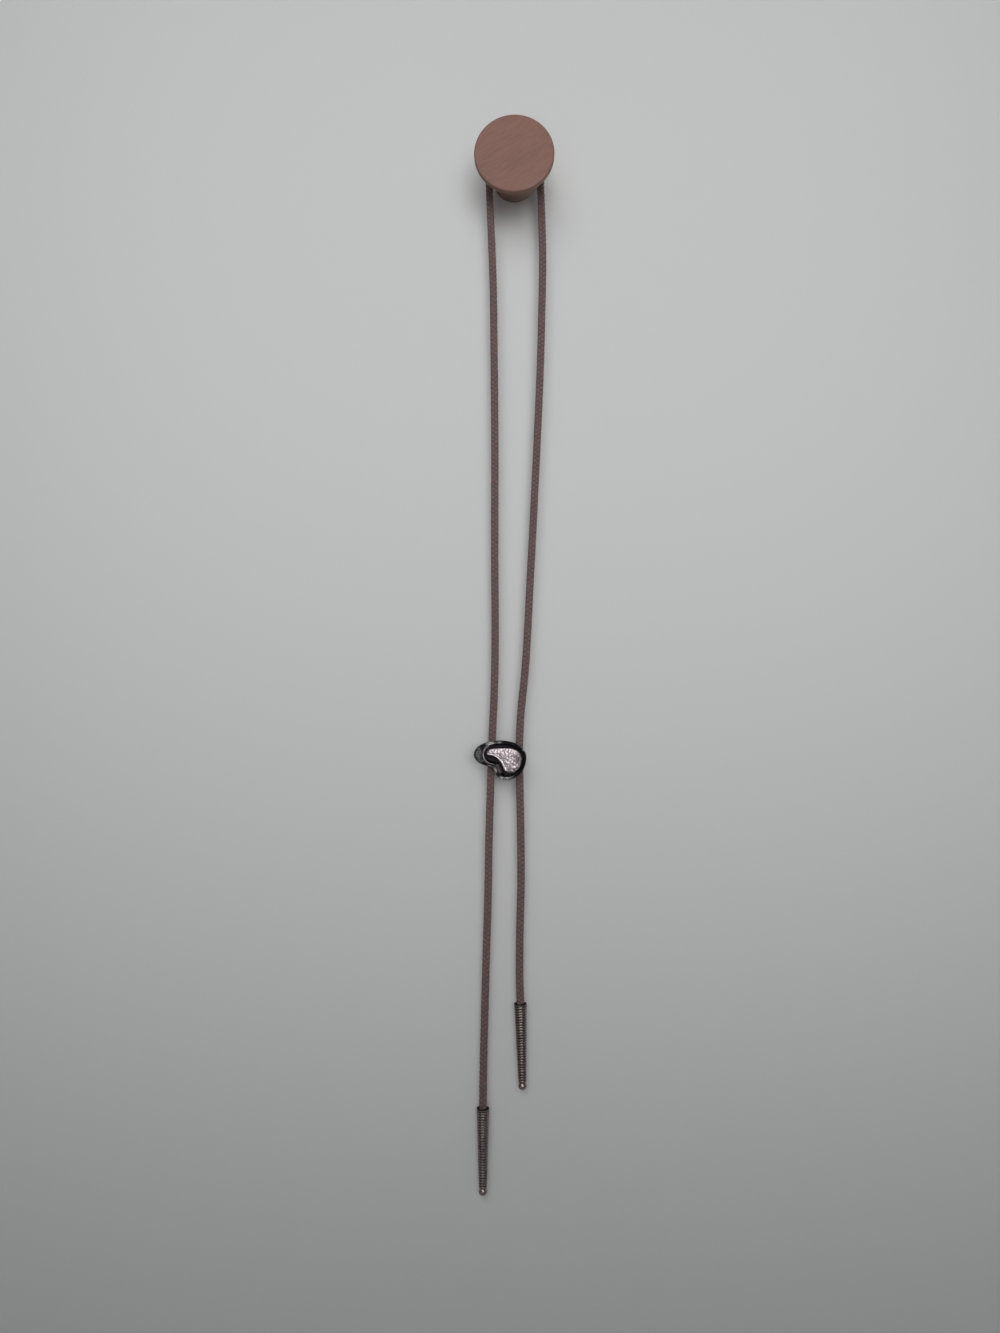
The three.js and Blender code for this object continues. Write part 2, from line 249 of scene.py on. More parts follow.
# The clip. Its edges are cut back a little.
SLEEVE_RADIUS = 3.1 * MM
SLEEVE_BORE = 2.5 * MM
SLEEVE_SIDES = 64
CLIP_EDGE = 0.12 * MM
CLIP_OVERLAP = 0.02 * MM
CLIP_DULLED = (0.12, 0.115, 0.12)

# The knob.
KNOB_SIDES = 160
KNOB_EDGE = 0.8 * MM
KNOB_BACK_EDGE = 0.3 * MM
FLARE_BEND = (1.5 * MM, 5 * MM)  # out from the neck, and along it
FLARE_END = 0.5 * MM
FLARE_STEPS = 14
KNOB_EDGE_STEPS = 6
FACE_INNER_SHARE = 0.6
# The darker wood, handled and partly painted shade on the edge and painted shade down the neck: how far it
# fades in from the face's edge and down from the rim, and how strong it is.
EDGE_FADE = (0.7 * MM, 0.2 * MM)
EDGE_STRENGTH = 0.5
NECK_SHADE_FADE = 6 * MM
NECK_SHADE_STRENGTH = 0.7

# Where the tips, the clip and the knob keep a crease, and the stage's room, wall and floor.
TIP_CREASE, CLIP_CREASE, KNOB_CREASE = (math.radians(angle) for angle in (50, 35, 40))
ROOM_TINT = (0.97, 0.99, 1.0, 1)
FLOOR_DROP = 0.35
WALL_GAP = 0.2 * MM
WALL_SIZE = 6
FLOOR_SIZE = 12


# ---- what a user would change ----


def length_setting(name, description, default):
    """A length that a user can change, in metres."""
    return bpy.props.FloatProperty(name=name, description=description, default=default, unit="LENGTH")


def power_setting(name, description, default):
    """A light's power that a user can change."""
    return bpy.props.FloatProperty(name=name, description=description, default=default, unit="POWER")


def colour_setting(name, description, default):
    """A colour that a user can change."""
    return bpy.props.FloatVectorProperty(
        name=name, description=description, default=default, subtype="COLOR")


class BoloCordSettings(bpy.types.PropertyGroup):
    """Sizes and colours of the braided cord."""

    diameter: length_setting("Diameter", "Across the cord", 4.2 * MM)
    stitch: length_setting("Stitch", "Length of one stitch of the braid", 2.2 * MM)
    strand_width: length_setting("Strand width", "Across one strand", 2.1 * MM)
    strand_thickness: length_setting("Strand thickness", "Through one strand", 1.0 * MM)
    crown_colour: colour_setting("Crown colour", "Leather on top of the stitches", (0.218, 0.150, 0.142))
    # The colour between the stitches is painted shade; it also darkens the grain's creases.
    shade_and_crease_colour: colour_setting("Hollow colour", "Leather between the stitches", (0.040, 0.024, 0.022))


class BoloTipSettings(bpy.types.PropertyGroup):
    """Sizes and colours of the two ringed tips."""

    rings: bpy.props.IntProperty(name="Rings", description="Rings down a tip", default=30)
    groove: length_setting("Groove", "Depth between two rings", 0.22 * MM)
    mouth_radius: length_setting("Mouth radius", "Half across the widest ring", 3.05 * MM)
    end_radius: length_setting("End radius", "Half across the last ring", 1.95 * MM)
    ball_radius: length_setting("Ball radius", "Half across the ball", 2.1 * MM)
    socket_radius: length_setting("Socket radius", "Half across the socket for the cord", 2.4 * MM)
    socket_depth: length_setting("Socket depth", "How far the cord goes in", 6.3 * MM)
    silver: colour_setting("Silver", "Bare metal of the crests", (0.40, 0.33, 0.32))
    # This black also paints shade in the socket and on the mouth's lip.
    patina_and_shade: colour_setting("Patina and shade", "Blackened metal in the grooves", (0.022, 0.018, 0.017))


class BoloSlideSettings(bpy.types.PropertyGroup):
    """Sizes and colours of the slide and its clip."""

    cast_depth: length_setting("Cast texture", "Depth of the texture on the rolled end", 0.45 * MM)
    hammer_depth: length_setting("Hammer marks", "Depth of the marks on the inlay", 0.14 * MM)
    wire_radius: length_setting("Wire radius", "Half across the rim wire", 0.62 * MM)
    bright: colour_setting("Bright silver", "Polished metal of the inlay", (0.44, 0.385, 0.40))
    # This paler colour also paints the rim's highlights and the light on the bowl's slope.
    worn: colour_setting("Worn silver", "Metal rubbed bare on the rim", (0.41, 0.395, 0.40))
    black: colour_setting("Blackened silver", "Oxidised metal of the dish", (0.018, 0.016, 0.019))
    clip_metal: colour_setting("Clip metal", "Plain metal of the clip", (0.42, 0.42, 0.43))


class BoloKnobSettings(bpy.types.PropertyGroup):
    """Sizes and colours of the wooden knob."""

    neck_radius: length_setting("Neck radius", "Half across the neck", 10.2 * MM)
    neck_length: length_setting("Neck length", "Straight part of the neck", 13 * MM)
    rim_thickness: length_setting("Rim thickness", "Edge of the round face", 3 * MM)
    grain_turn: bpy.props.FloatProperty(
        name="Grain direction", description="Turn of the grain from level", default=math.radians(32),
        unit="ROTATION")
    pale_wood: colour_setting("Pale wood", "Wood between the pores", (0.315, 0.163, 0.128))
    dark_wood: colour_setting("Dark wood", "Pores and streaks", (0.190, 0.105, 0.086))
    # Darker wood on the rim is handled wood and partly painted shade; down the neck it is painted shade.
    handled_and_shaded_wood: colour_setting("Edge wood", "Handled wood of the rim and neck", (0.150, 0.092, 0.058))


class BoloStageSettings(bpy.types.PropertyGroup):
    """The light, wall, floor and lens."""

    lens: bpy.props.FloatProperty(name="Lens", description="Focal length in mm", default=27.0)
    wall_colour: colour_setting("Wall colour", "Plain pale wall behind the tie", (0.79, 0.80, 0.80))
    floor_colour: colour_setting("Floor colour", "Plain pale floor", (0.74, 0.74, 0.73))
    key_power: power_setting("Key light", "Power of the soft light above", 0.85)
    front_power: power_setting("Front light", "Power of the soft light in front", 0.64)
    window_power: power_setting("Window light", "Power of the bright panel low on the left", 1.0)
    back_power: power_setting("Back light", "Power of the soft light behind the wall", 5.0)
    ambient: bpy.props.FloatProperty(
        name="Ambient", description="Strength of the light from all round", default=0.11)


class BoloTieSettings(bpy.types.PropertyGroup):
    """All settings of the bolo tie."""

    cord: bpy.props.PointerProperty(type=BoloCordSettings)
    tips: bpy.props.PointerProperty(type=BoloTipSettings)
    slide: bpy.props.PointerProperty(type=BoloSlideSettings)
    knob: bpy.props.PointerProperty(type=BoloKnobSettings)
    stage: bpy.props.PointerProperty(type=BoloStageSettings)


# ---- modelling ----


def start_clean():
    """Leaves edit mode and deselects everything, the frame's own nodes too."""
    active = bpy.context.view_layer.objects.active
    if active and active.mode != "OBJECT":
        bpy.ops.object.mode_set(mode="OBJECT")
    bpy.ops.object.select_all(action="DESELECT")


def select_only(piece):
    """Makes the piece the one selected and active object."""
    start_clean()
    piece.select_set(True)
    bpy.context.view_layer.objects.active = piece


def settle(piece, matrix=None):
    """Moves the piece's mesh to its place, so that the object itself stands at the origin."""
    select_only(piece)
    if matrix is not None:
        piece.matrix_world = matrix @ piece.matrix_world
    bpy.ops.object.transform_apply(location=True, rotation=True, scale=True)


def face_outwards(piece):
    """Merges doubles and points every face out."""
    select_only(piece)
    bpy.ops.object.mode_set(mode="EDIT")
    bpy.ops.mesh.select_all(action="SELECT")
    bpy.ops.mesh.remove_doubles(threshold=MERGE_DISTANCE)
    bpy.ops.mesh.normals_make_consistent(inside=False)
    bpy.ops.object.mode_set(mode="OBJECT")


def apply_modifier(piece, name, kind, **values):
    """Adds a modifier, sets it and applies it."""
    select_only(piece)
    modifier = piece.modifiers.new(name, kind)
    for field, value in values.items():
        setattr(modifier, field, value)
    bpy.ops.object.modifier_apply(modifier=modifier.name)


def hand_over(piece, name, material, slot, *nodes):
    """Names a finished piece, gives it its finish, and lets it ride with the tie in place of its nodes."""
    piece.name = name
    piece.data.name = name
    piece.data.materials.clear()
    piece.data.materials.append(material)
    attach(piece, BODY)
    if nodes:
        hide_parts(*nodes)
    return piece


def turned_body(profile, sides):
    """A body turned about Z: its profile, rows of radius and height, is drawn as a chain and spun."""
    start_clean()
    bpy.ops.mesh.primitive_plane_add(size=MM, enter_editmode=True, location=(0, 0, 0))
    bpy.ops.mesh.merge(type="CENTER")
    radius, height = profile[0]
    bpy.ops.transform.translate(value=(radius, 0, height))
    for before, after in zip(profile, profile[1:]):
        step = (after[0] - before[0], 0, after[1] - before[1])
        bpy.ops.mesh.extrude_region_move(TRANSFORM_OT_translate={"value": step})
    bpy.ops.mesh.select_all(action="SELECT")
    bpy.ops.mesh.spin(steps=sides, angle=math.tau, center=(0, 0, 0), axis=(0, 0, 1))
    bpy.ops.object.mode_set(mode="OBJECT")
    piece = bpy.context.object
    face_outwards(piece)
    return piece


def ring_body(rings):
    """A closed body grown from a circle: each ring is extruded from the last and laid on its places."""
    start_clean()
    bpy.ops.mesh.primitive_circle_add(
        vertices=len(rings[0]), radius=10 * MM, fill_type="NOTHING", enter_editmode=True,
        location=(0, 0, 0))
    piece = bpy.context.object
    mesh = bmesh.from_edit_mesh(piece.data)
    numbers = {tuple(vert.co): number for number, vert in enumerate(mesh.verts)}
    for count, ring in enumerate(rings):
        if count:
            bpy.ops.mesh.extrude_region()
        mesh = bmesh.from_edit_mesh(piece.data)
        laid = {}
        for vert in mesh.verts:
            if vert.select:
                number = numbers[tuple(vert.co)]
                vert.co = ring[number]
                laid[tuple(vert.co)] = number
        numbers = laid
        bmesh.update_edit_mesh(piece.data)
    bpy.ops.mesh.fill()
    bpy.ops.mesh.select_all(action="DESELECT")
    mesh = bmesh.from_edit_mesh(piece.data)
    mesh.verts.ensure_lookup_table()
    for vert in mesh.verts[:len(rings[0])]:
        vert.select = True
    mesh.select_flush(True)
    bmesh.update_edit_mesh(piece.data)
    bpy.ops.mesh.fill()
    bpy.ops.object.mode_set(mode="OBJECT")
    face_outwards(piece)
    return piece


def catmull_rom(before, start, end, after, steps):
    """Points on one span of a centripetal Catmull-Rom curve, without its end."""
    knots = [0.0]
    for first, second in ((before, start), (start, end), (end, after)):
        knots.append(knots[-1] + math.sqrt(np.linalg.norm(second - first)))
    t0, t1, t2, t3 = knots
    points = []
    for t in np.linspace(t1, t2, steps, endpoint=False):
        a1 = ((t1 - t) * before + (t - t0) * start) / (t1 - t0)
        a2 = ((t2 - t) * start + (t - t1) * end) / (t2 - t1)
        a3 = ((t3 - t) * end + (t - t2) * after) / (t3 - t2)
        b1 = ((t2 - t) * a1 + (t - t0) * a2) / (t2 - t0)
        b2 = ((t3 - t) * a2 + (t - t1) * a3) / (t3 - t1)
        points.append(((t2 - t) * b1 + (t - t1) * b2) / (t2 - t1))
    return points


def closed_curve(rows, steps):
    """A closed smooth curve through the rows, the same number of points on each span."""
    places = np.array(rows, float)
    count = len(places)
    points = []
    for i in range(count):
        around = [places[(i + shift) % count] for shift in (-1, 0, 1, 2)]
        points.extend(catmull_rom(*around, steps))
    return np.array(points)


def open_curve(rows, steps):
    """An open smooth curve through the rows."""
    places = np.array(rows, float)
    padded = np.vstack([2 * places[0] - places[1], places, 2 * places[-1] - places[-2]])
    points = []
    for i in range(len(places) - 1):
        points.extend(catmull_rom(*padded[i:i + 4], steps))
    points.append(places[-1])
    return np.array(points)


def evenly(points, step):
    """The same line with its points a step apart."""
    along = np.concatenate([[0], np.cumsum(np.linalg.norm(np.diff(points, axis=0), axis=1))])
    count = round(along[-1] / step) + 1
    at = np.linspace(0, along[-1], count)
    return np.stack([np.interp(at, along, points[:, k]) for k in range(3)], axis=1), at


def unit(vectors):
    """The vectors at length one."""
    return vectors / np.linalg.norm(vectors, axis=1, keepdims=True)


def ramp(values, start, end):
    """0 at the start, 1 at the end and past it, and even between."""
    return np.clip((values - start) / (end - start), 0, 1)


def mesh_places(piece):
    """The piece's vertices as an array."""
    places = np.zeros(len(piece.data.vertices) * 3)
    piece.data.vertices.foreach_get("co", places)
    return places.reshape(-1, 3)


def set_places(piece, places):
    """Moves the piece's vertices."""
    piece.data.vertices.foreach_set("co", places.ravel())
    piece.data.update()


def store_values(piece, name, values):
    """Keeps a value on each vertex for the material to read."""
    kept = piece.data.attributes.new(name, "FLOAT", "POINT")
    kept.data.foreach_set("value", np.clip(values, 0, 1).astype(np.float32))


# ---- materials ----


def add_node(tree, kind, sockets=None, **fields):
    """Adds a node. A socket's value is a number, a colour, or another node's output to link."""
    node = tree.nodes.new(kind)
    for field, value in fields.items():
        setattr(node, field, value)
    for name, value in (sockets or {}).items():
        if isinstance(value, bpy.types.NodeSocket):
            tree.links.new(value, node.inputs[name])
        else:
            node.inputs[name].default_value = value
    return node


def noise(tree, vector, scale, detail=3.0, roughness=0.5):
    """A noise pattern's value."""
    node = add_node(tree, "ShaderNodeTexNoise", {
        "Vector": vector, "Scale": scale, "Detail": detail, "Roughness": roughness})
    return node.outputs["Fac"]


def stretch(tree, vector, scale, turn=(0, 0, 0)):
    """Coordinates turned and then stretched, so that a pattern runs along one way."""
    turned = add_node(tree, "ShaderNodeMapping", {"Vector": vector, "Rotation": turn})
    node = add_node(tree, "ShaderNodeMapping", {"Vector": turned.outputs[0], "Scale": scale})
    return node.outputs[0]


def math_node(tree, operation, first, second=0.0, clamp=False):
    """One sum on two values."""
    node = add_node(tree, "ShaderNodeMath", {0: first, 1: second}, operation=operation)
    node.use_clamp = clamp
    return node.outputs[0]


def spread_range(tree, value, low, high, to_low=0.0, to_high=1.0):
    """A value moved from one range to another and held inside it."""
    node = add_node(tree, "ShaderNodeMapRange", {
        "Value": value, "From Min": low, "From Max": high, "To Min": to_low, "To Max": to_high},
        interpolation_type="SMOOTHSTEP")
    return node.outputs[0]


def blend_colours(tree, share, first, second, kind="MIX"):
    """One colour laid over another."""
    node = add_node(tree, "ShaderNodeMix", data_type="RGBA", blend_type=kind)
    for socket, value in ((node.inputs[0], share), (node.inputs[6], first), (node.inputs[7], second)):
        if isinstance(value, bpy.types.NodeSocket):
            tree.links.new(value, socket)
        elif socket == node.inputs[0]:
            socket.default_value = value
        else:
            socket.default_value = (*value[:3], 1)
    return node.outputs[2]


def attribute(tree, name):
    """A value kept on the piece's vertices."""
    return add_node(tree, "ShaderNodeAttribute", attribute_name=name).outputs["Fac"]


def new_group(name, inputs, outputs):
    """A node group with its sockets, and its two end nodes."""
    tree = bpy.data.node_groups.new(name, "ShaderNodeTree")
    for label, kind, value in inputs:
        socket = tree.interface.new_socket(label, in_out="INPUT", socket_type=kind)
        if value is not None:
            socket.default_value = value
    for label, kind in outputs:
        tree.interface.new_socket(label, in_out="OUTPUT", socket_type=kind)
    return tree, tree.nodes.new("NodeGroupInput"), tree.nodes.new("NodeGroupOutput")


def fine_scratches():
    """Group: fine straight scratches laid two ways, as a height."""
    found = bpy.data.node_groups.get("Fine scratches")
    if found:
        return found
    tree, start, end = new_group(
        "Fine scratches",
        (("Vector", "NodeSocketVector", None), ("Fineness", "NodeSocketFloat", 9000.0)),
        (("Height", "NodeSocketFloat"),))
    first = noise(tree, stretch(tree, start.outputs["Vector"], (0.04, 1, 1), (0, 0.5, 0)),
                  start.outputs["Fineness"], 2.0)
    second = noise(tree, stretch(tree, start.outputs["Vector"], (1, 1, 0.05), (0, -0.3, 0)),
                   start.outputs["Fineness"], 2.0)
    both = math_node(tree, "ADD", first, second)
    tree.links.new(math_node(tree, "MULTIPLY", both, 0.5), end.inputs["Height"])
    return tree


def patina_and_shade():
    """Group: where silver is black, from patina and from the painted shade fed in as Hollow, less where it
    is rubbed bare or painted lighter.
    """
    found = bpy.data.node_groups.get("Patina and shade")
    if found:
        return found
    tree, start, end = new_group(
        "Patina and shade",
        (("Vector", "NodeSocketVector", None), ("Patch scale", "NodeSocketFloat", 900.0),
         ("Hollow", "NodeSocketFloat", 0.0), ("Worn", "NodeSocketFloat", 0.0),
         ("Amount", "NodeSocketFloat", 0.5)),
        (("Mask", "NodeSocketFloat"), ("Roughness", "NodeSocketFloat")))
    patches = noise(tree, start.outputs["Vector"], start.outputs["Patch scale"], 4.0, 0.6)
    spread = math_node(tree, "SUBTRACT", patches, 0.5)
    level = math_node(tree, "ADD", start.outputs["Amount"], spread)
    level = math_node(tree, "ADD", level, start.outputs["Hollow"])
    level = math_node(tree, "SUBTRACT", level, start.outputs["Worn"])
    mask = spread_range(tree, level, 0.15, 0.85)
    tree.links.new(mask, end.inputs["Mask"])
    tree.links.new(spread_range(tree, mask, 0.0, 1.0, 0.24, 0.5), end.inputs["Roughness"])
    return tree


def long_grain():
    """Group: grain stretched along X, as a mask of streaks with short pores in it."""
    found = bpy.data.node_groups.get("Long grain")
    if found:
        return found
    tree, start, end = new_group(
        "Long grain",
        (("Vector", "NodeSocketVector", None), ("Fineness", "NodeSocketFloat", 900.0),
         ("Stretch", "NodeSocketVector", (0.06, 1.0, 1.0)), ("Pores", "NodeSocketFloat", 0.5)),
        (("Streaks", "NodeSocketFloat"), ("Height", "NodeSocketFloat")))
    laid = add_node(tree, "ShaderNodeMapping", {
        "Vector": start.outputs["Vector"], "Scale": start.outputs["Stretch"]}).outputs[0]
    streaks = noise(tree, laid, start.outputs["Fineness"], 4.0, 0.62)
    fine = noise(tree, laid, math_node(tree, "MULTIPLY", start.outputs["Fineness"], 3.7), 2.0)
    pores = math_node(tree, "MULTIPLY", spread_range(tree, fine, 0.56, 0.7), start.outputs["Pores"])
    shown = spread_range(tree, streaks, 0.36, 0.66)
    tree.links.new(math_node(tree, "ADD", shown, pores, clamp=True), end.inputs["Streaks"])
    tree.links.new(math_node(tree, "SUBTRACT", shown, pores), end.inputs["Height"])
    return tree


def use_group(tree, group, **sockets):
    """Places a group in a material with its own values."""
    named = {name.replace("_", " ").capitalize(): value for name, value in sockets.items()}
    return add_node(tree, "ShaderNodeGroup", node_tree=group, sockets=named)


def new_material(name, **constants):
    """A material with one Principled shader; the constants stand on the shader's own sockets."""
    material = bpy.data.materials.new(name)
    material.use_nodes = True
    tree = material.node_tree
    shader = tree.nodes["Principled BSDF"]
    for socket, value in constants.items():
        shader.inputs[socket.replace("_", " ")].default_value = value
    return material, tree, shader


def object_coordinates(tree):
    """Coordinates on the piece itself, in metres."""
    return add_node(tree, "ShaderNodeTexCoord").outputs["Object"]


def paint(tree, shader, base, roughness):
    """Feeds a colour and a roughness to the shader."""
    tree.links.new(base, shader.inputs["Base Color"])
    tree.links.new(roughness, shader.inputs["Roughness"])


def bump(tree, shader, height, strength, distance):
    """Feeds a height to the shader's normal."""
    node = add_node(tree, "ShaderNodeBump", {
        "Height": height, "Strength": strength, "Distance": distance})
    tree.links.new(node.outputs["Normal"], shader.inputs["Normal"])


def braided_leather(settings):
    """Waxed brown leather lace with painted shade between the stitches, finely pebbled on top."""
    material, tree, shader = new_material("waxed leather lace", Specular_IOR_Level=0.3)
    lace = add_node(tree, "ShaderNodeUVMap", uv_map="strand").outputs["UV"]
    place = object_coordinates(tree)
    crown = attribute(tree, "crown")
    creases = use_group(tree, long_grain(), vector=lace, fineness=2600.0, stretch=(0.35, 1.0, 1.0),
                        pores=0.3)
    pebble = noise(tree, place, 3600.0, 2.0)
    mottle = noise(tree, place, 240.0, 3.0)
    # Painted shade: the leather turns dark where the strands dip towards the core.
    raised = spread_range(tree, crown, 0.42, 0.86)
    colour = blend_colours(tree, raised, settings.shade_and_crease_colour, settings.crown_colour)
    darker = blend_colours(tree, math_node(tree, "MULTIPLY", creases.outputs["Streaks"], 0.16), colour,
                           settings.shade_and_crease_colour)
    warm = blend_colours(tree, spread_range(tree, mottle, 0.35, 0.65), (0.93, 0.96, 1.02),
                         (1.08, 1.0, 0.95))
    colour = blend_colours(tree, 1.0, darker, warm, "MULTIPLY")
    paint(tree, shader, colour, spread_range(tree, pebble, 0.3, 0.7, 0.5, 0.68))
    bump(tree, shader, pebble, 0.25, 0.05 * MM)
    return material


def scratched_and_shaded_metal(name, bare, black, patch_scale, amount, fineness, strength, depth, marked=True, grain=0):
    """Scratched metal, black in patches; a marked piece says where it is hollow, for patina and painted
    shade, and where it is rubbed bare or painted lighter.
    """
    material, tree, shader = new_material(name, Metallic=1.0)
    place = object_coordinates(tree)
    kept = {mark: attribute(tree, mark) for mark in ("hollow", "worn") if marked}
    aged = use_group(tree, patina_and_shade(), vector=place, patch_scale=patch_scale, amount=amount, **kept)
    relief = use_group(tree, fine_scratches(), vector=place, fineness=fineness).outputs["Height"]
    if grain:
        relief = math_node(tree, "ADD", noise(tree, place, grain, 3.0), relief)
    paint(tree, shader, blend_colours(tree, aged.outputs["Mask"], bare, black), aged.outputs["Roughness"])
    bump(tree, shader, relief, strength, depth)
    return material


def tip_silver(settings):
    """Antique silver: black patina in the grooves, painted shade in the socket and on the mouth's lip;
    rubbed on the crests, partly a painted highlight, and polished on the ball.
    """
    return scratched_and_shaded_metal("antique silver", settings.silver, settings.patina_and_shade, patch_scale=420.0, amount=0.32,
                      fineness=7000.0, strength=0.25, depth=0.03 * MM)


def oxidised_silver(settings):
    """Blackened cast silver, rubbed paler on the high rim; the marks it reads also paint highlights on the
    rim, light on the bowl's slope and shade deep in the bowl.
    """
    return scratched_and_shaded_metal("blackened cast silver", settings.worn, settings.black, patch_scale=1500.0,
                      amount=0.86, fineness=6000.0, strength=0.3, depth=0.05 * MM, grain=3200.0)


def bright_silver(settings):
    """Brushed and planished silver, greyer in small patches and with painted shade on the inlay's foot and
    right side; the inlay and the wires share it.
    """
    made = bpy.data.materials.get("hammered silver")
    return made or scratched_and_shaded_metal("hammered silver", settings.bright, BRIGHT_PATCHES_AND_SHADE, patch_scale=1100.0,
                              amount=0.40, fineness=5200.0, strength=0.5, depth=0.05 * MM)


def clip_metal(settings):
    """Plain stamped metal with a dull brushed face."""
    return scratched_and_shaded_metal("brushed clip metal", settings.clip_metal, CLIP_DULLED, patch_scale=700.0,
                      amount=0.25, fineness=4200.0, strength=0.4, depth=0.05 * MM, marked=False)


def knob_wood(settings):
    """Waxed reddish-brown wood, its long grain running slantwise across the face."""
    material, tree, shader = new_material("waxed wood", Specular_IOR_Level=0.35)
    place = object_coordinates(tree)
    along = add_node(tree, "ShaderNodeMapping", {
        "Vector": place, "Rotation": (0, settings.grain_turn, 0)}).outputs[0]
    grain = use_group(tree, long_grain(), vector=along, fineness=1500.0, stretch=(0.09, 0.6, 1.0),
                      pores=0.8)
    broad = noise(tree, stretch(tree, along, (0.12, 0.5, 1.0)), 120.0, 2.0)
    streaks = math_node(tree, "MULTIPLY", grain.outputs["Streaks"], 0.3)
    colour = blend_colours(tree, streaks, settings.pale_wood, settings.dark_wood)
    shade = blend_colours(tree, spread_range(tree, broad, 0.3, 0.7), (0.96, 0.98, 0.98),
                          (1.04, 1.01, 0.99))
    colour = blend_colours(tree, 1.0, colour, shade, "MULTIPLY")
    # Painted shade on the edge and down the neck, mixed with handled wood on the edge.
    colour = blend_colours(tree, attribute(tree, "edge"), colour, settings.handled_and_shaded_wood)
    paint(tree, shader, colour, spread_range(tree, grain.outputs["Streaks"], 0.0, 1.0, 0.5, 0.66))
    bump(tree, shader, grain.outputs["Height"], 0.25, 0.06 * MM)
    return material


def one_sided(flat_colour, name):
    """Plain paint that shows from the front only, so that the tie is seen from behind too."""
    material, tree, shader = new_material(name, Roughness=0.9, Specular_IOR_Level=0.2)
    shader.inputs["Base Color"].default_value = (*flat_colour, 1)
    behind = add_node(tree, "ShaderNodeNewGeometry").outputs["Backfacing"]
    clear = add_node(tree, "ShaderNodeBsdfTransparent")
    mixed = add_node(tree, "ShaderNodeMixShader", {
        0: behind, 1: shader.outputs["BSDF"], 2: clear.outputs["BSDF"]})
    tree.links.new(mixed.outputs[0], tree.nodes["Material Output"].inputs["Surface"])
    return material


# ---- the stage ----


class BOLO_OT_stage(bpy.types.Operator):
    """Sets up the camera, the soft lights, the plain wall and the floor"""

    bl_idname = "bolo.stage"
    bl_label = "Stage"

    def execute(self, context):
        settings = context.scene.bolo_tie.stage
        self.camera(context, settings)
        self.backdrops(settings)
        self.lights(context, settings)
        return {"FINISHED"}

    def camera(self, context, settings):
        """The camera, a little above the middle of the tie and tipped slightly up."""
        data = bpy.data.cameras.new("camera")
        data.sensor_fit = "VERTICAL"
        data.sensor_height = CAMERA_SENSOR_MM
        data.lens = settings.lens
        camera = bpy.data.objects.new("camera", data)
        camera.location = CAMERA_PLACE
        camera.rotation_euler = (math.pi / 2 + CAMERA_PITCH, 0, CAMERA_TURN)
        context.scene.collection.objects.link(camera)
        context.scene.camera = camera

    def backdrops(self, settings):
        """A wall just behind the knob and a floor below, neither part of the object."""
        low, high = CAD_BOX
        floor_height = low.z - FLOOR_DROP
        start_clean()
        bpy.ops.mesh.primitive_plane_add(
            size=WALL_SIZE, location=(0, high.y + WALL_GAP, floor_height + WALL_SIZE / 2),
            rotation=(math.pi / 2, 0, 0))
        wall = bpy.context.object
        wall.name = "stage_wall"
        wall.data.materials.append(one_sided(settings.wall_colour, "stage_wall"))
        wall.visible_shadow = False
        start_clean()
        bpy.ops.mesh.primitive_plane_add(size=FLOOR_SIZE, location=(0, 0, floor_height))
        floor = bpy.context.object
        floor.name = "stage_floor"
        floor.data.materials.append(one_sided(settings.floor_colour, "stage_floor"))

    def lights(self, context, settings):
        """Wide lights above, in front and behind, a low bright panel, and even light all round."""
        rows = (  # name, place, size, aim, spread in degrees, power
            ("key_light", (-0.15, -0.80, 0.45), (1.3, 0.8), (0, 0, -0.02), 60, settings.key_power),
            ("front_light", (0.15, -0.80, 0.02), (0.8, 0.8), (0, 0, -0.02), 50, settings.front_power),
            ("window_light", (-0.40, -1.40, -0.60), (0.75, 0.65), (0, 0, -0.29), 180, settings.window_power),
            ("back_light", (0.5, 1.1, 0.1), (1.2, 1.2), (0, 0, -0.25), 180, settings.back_power),
        )
        for name, place, size, aim, spread, power in rows:
            data = bpy.data.lights.new(name, "AREA")
            data.shape = "RECTANGLE"
            data.size, data.size_y = size
            data.energy = power
            data.spread = math.radians(spread)
            light = bpy.data.objects.new(name, data)
            light.location = place
            light.rotation_euler = (Vector(aim) - Vector(place)).to_track_quat("-Z", "Y").to_euler()
            context.scene.collection.objects.link(light)
        world = bpy.data.worlds.new("soft_room")
        world.use_nodes = True
        sky = world.node_tree.nodes["Background"]
        sky.inputs["Color"].default_value = ROOM_TINT
        sky.inputs["Strength"].default_value = settings.ambient
        context.scene.world = world
        context.scene.view_settings.view_transform = "Standard"


# ---- the cord ----


def cord_line(step):
    """The cord's centreline with its front and side directions, a step apart."""
    points, along = evenly(open_curve(CORD_ROUTE, ROUTE_STEPS), step)
    forward = unit(np.gradient(points, axis=0))
    front = np.array([[0.0, -1.0, 0.0]])
    front = unit(front - (forward @ front.T) * forward)
    side = np.cross(forward, front)
    return points, along, front, side


def swept_tube(middle, across, outward, section):
    """The vertices and faces of a section swept along a line, closed at both ends."""
    count, sides = len(middle), len(section)
    places = np.stack([middle + a * across + b * outward for a, b in section], axis=1)
    ring = np.arange(count)[:, None] * sides
    corner = np.arange(sides)[None, :]
    after = (corner + 1) % sides
    walls = np.stack([ring[:-1] + corner, ring[:-1] + after, ring[1:] + after, ring[1:] + corner], axis=2)
    faces = [tuple(face) for face in walls.reshape(-1, 4).tolist()]
    faces.append(tuple(range(sides))[::-1])
    faces.append(tuple(range((count - 1) * sides, count * sides)))
    return places.reshape(-1, 3), faces


